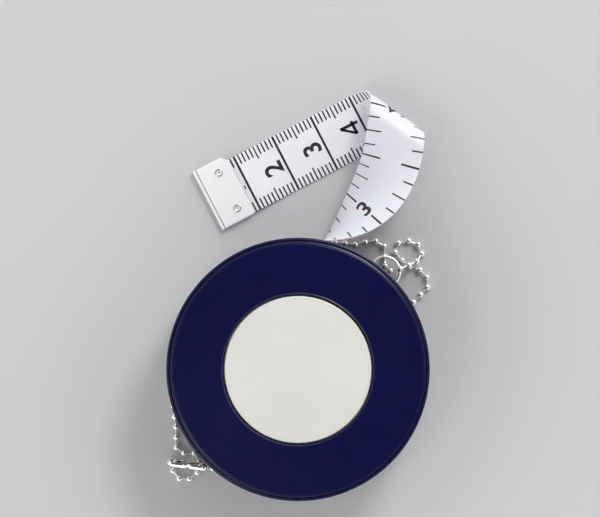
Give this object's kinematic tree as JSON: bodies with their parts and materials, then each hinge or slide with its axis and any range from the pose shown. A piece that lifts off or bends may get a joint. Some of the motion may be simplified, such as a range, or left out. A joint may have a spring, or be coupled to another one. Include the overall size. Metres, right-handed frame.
{
  "type": "cloth tape measure",
  "caption": "Round push-button cloth tape measure with a spring-wound drum, drawn tape with a metal end, split ring and ball chain.",
  "frame": {"origin": "centre of the flat rear face of the case", "axes": "+Z out through the button, +X to the right and +Y towards the drawn tape, as the case is seen from its front"},
  "size_m": [0.0604, 0.094, 0.022],
  "materials": {
    "navy_plastic": "moulded, satin gloss",
    "cream_plastic": "fine matt",
    "white_acetal": "moulded, semi matt",
    "bright_nickel": "bright nickel plate",
    "satin_tin": "tinned sheet, pale satin",
    "spring_steel": "rolled, oiled",
    "coated_cloth": "coated glass-fibre cloth, printed scale",
    "grey_felt": "pressed felt",
    "label_film": "bare satin film"
  },
  "bodies": {
    "case": {"rear_shell": "navy_plastic", "front_shell": "navy_plastic", "rear_label": "label_film", "arbour": "white_acetal", "arbour_screw": "bright_nickel", "thrust_washer": "white_acetal", "mainspring": "spring_steel", "lanyard_pin": "bright_nickel", "chain_left": "bright_nickel", "chain_right": "bright_nickel", "chain_connector": "bright_nickel"},
    "drum": {"drum": "white_acetal", "spring_cover": "white_acetal", "upper_flange": "white_acetal", "tape_coil": "coated_cloth"},
    "tape": {"tape": "coated_cloth", "end_clip": "satin_tin", "clip_rivet_left": "bright_nickel", "clip_rivet_right": "bright_nickel"},
    "button": {"button_cap": "cream_plastic", "plunger": "white_acetal", "brake_disc": "white_acetal", "brake_pad": "grey_felt", "stem_clip": "spring_steel", "return_spring": "spring_steel"},
    "ring": {"split_ring": "bright_nickel"}
  },
  "joints": [
    {"name": "drum_spin", "type": "hinge", "parent": "case", "child": "drum", "pos_m": [0, 0, 0.011], "axis": [0, 0, -1], "range_deg": [0, 45]},
    {"name": "tape_pull", "type": "slide", "parent": "case", "child": "tape", "axis": [0.866, 0.5, 0], "range_m": [0, 0.0176]},
    {"name": "button_press", "type": "slide", "parent": "case", "child": "button", "axis": [0, 0, -1], "range_m": [0, 0.001], "stiffness_N_per_m": 900, "springref_m": -0.0008, "deforming": ["return_spring"]},
    {"name": "ring_swing", "type": "hinge", "parent": "case", "child": "ring", "pos_m": [0.0186, 0.02066, 0.00235], "axis": [0, 0, 1], "range_deg": [-15, 15]}
  ],
  "couplings": [
    {"joint": "tape_pull", "follows": "drum_spin", "m_per_rad": 0.0224}
  ]
}
